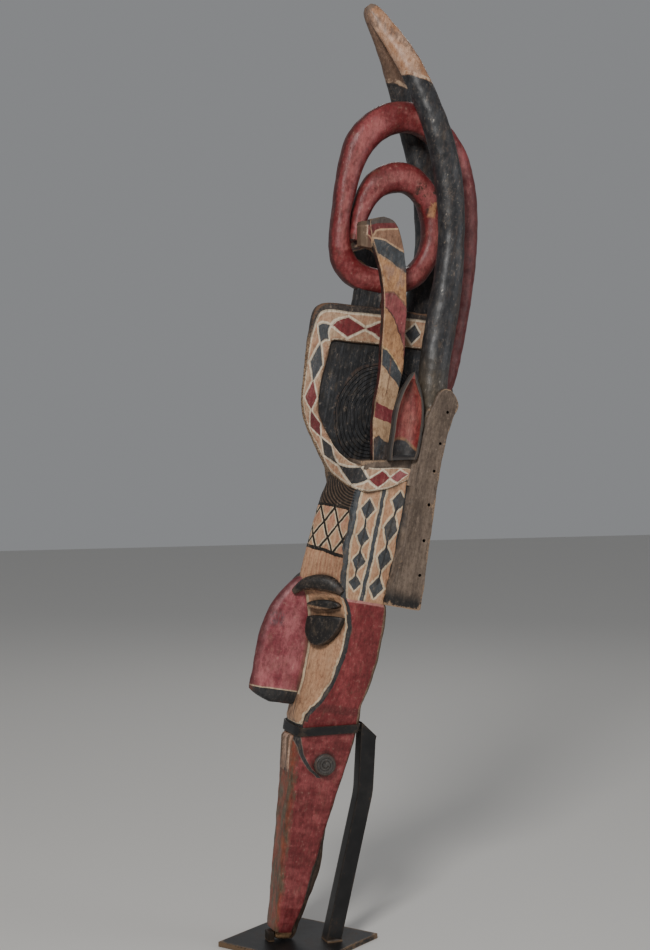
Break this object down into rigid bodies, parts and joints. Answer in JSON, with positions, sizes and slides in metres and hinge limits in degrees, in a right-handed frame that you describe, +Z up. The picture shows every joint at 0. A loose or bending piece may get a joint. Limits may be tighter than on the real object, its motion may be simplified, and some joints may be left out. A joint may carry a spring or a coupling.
{
  "type": "baga banda mask",
  "caption": "Carved and painted wooden headdress mask of human, crocodile and antelope forms: long jaw, fin nose, panel crest, coiled tail and horns, on its steel display stand.",
  "frame": {"origin": "centre of the underside of the stand's base plate", "axes": "+Z up; -X is the way the face, nose and jaw look, +X the wearer's side, and the carving is symmetric about the XZ plane and leans back towards +X by 10.5 degrees"},
  "size_m": [0.4287, 0.2532, 1.4812],
  "materials": {
    "painted_wood": "carved light wood in worn brick-red, black and cream paint, bare on the worn edges",
    "black_steel": "black paint, satin, worn to rusty brown at the edges"
  },
  "bodies": {
    "root": {"mask": "painted_wood", "base_plate": "black_steel", "post": "black_steel", "strap": "black_steel", "jaw_rest": "black_steel"}
  },
  "joints": []
}
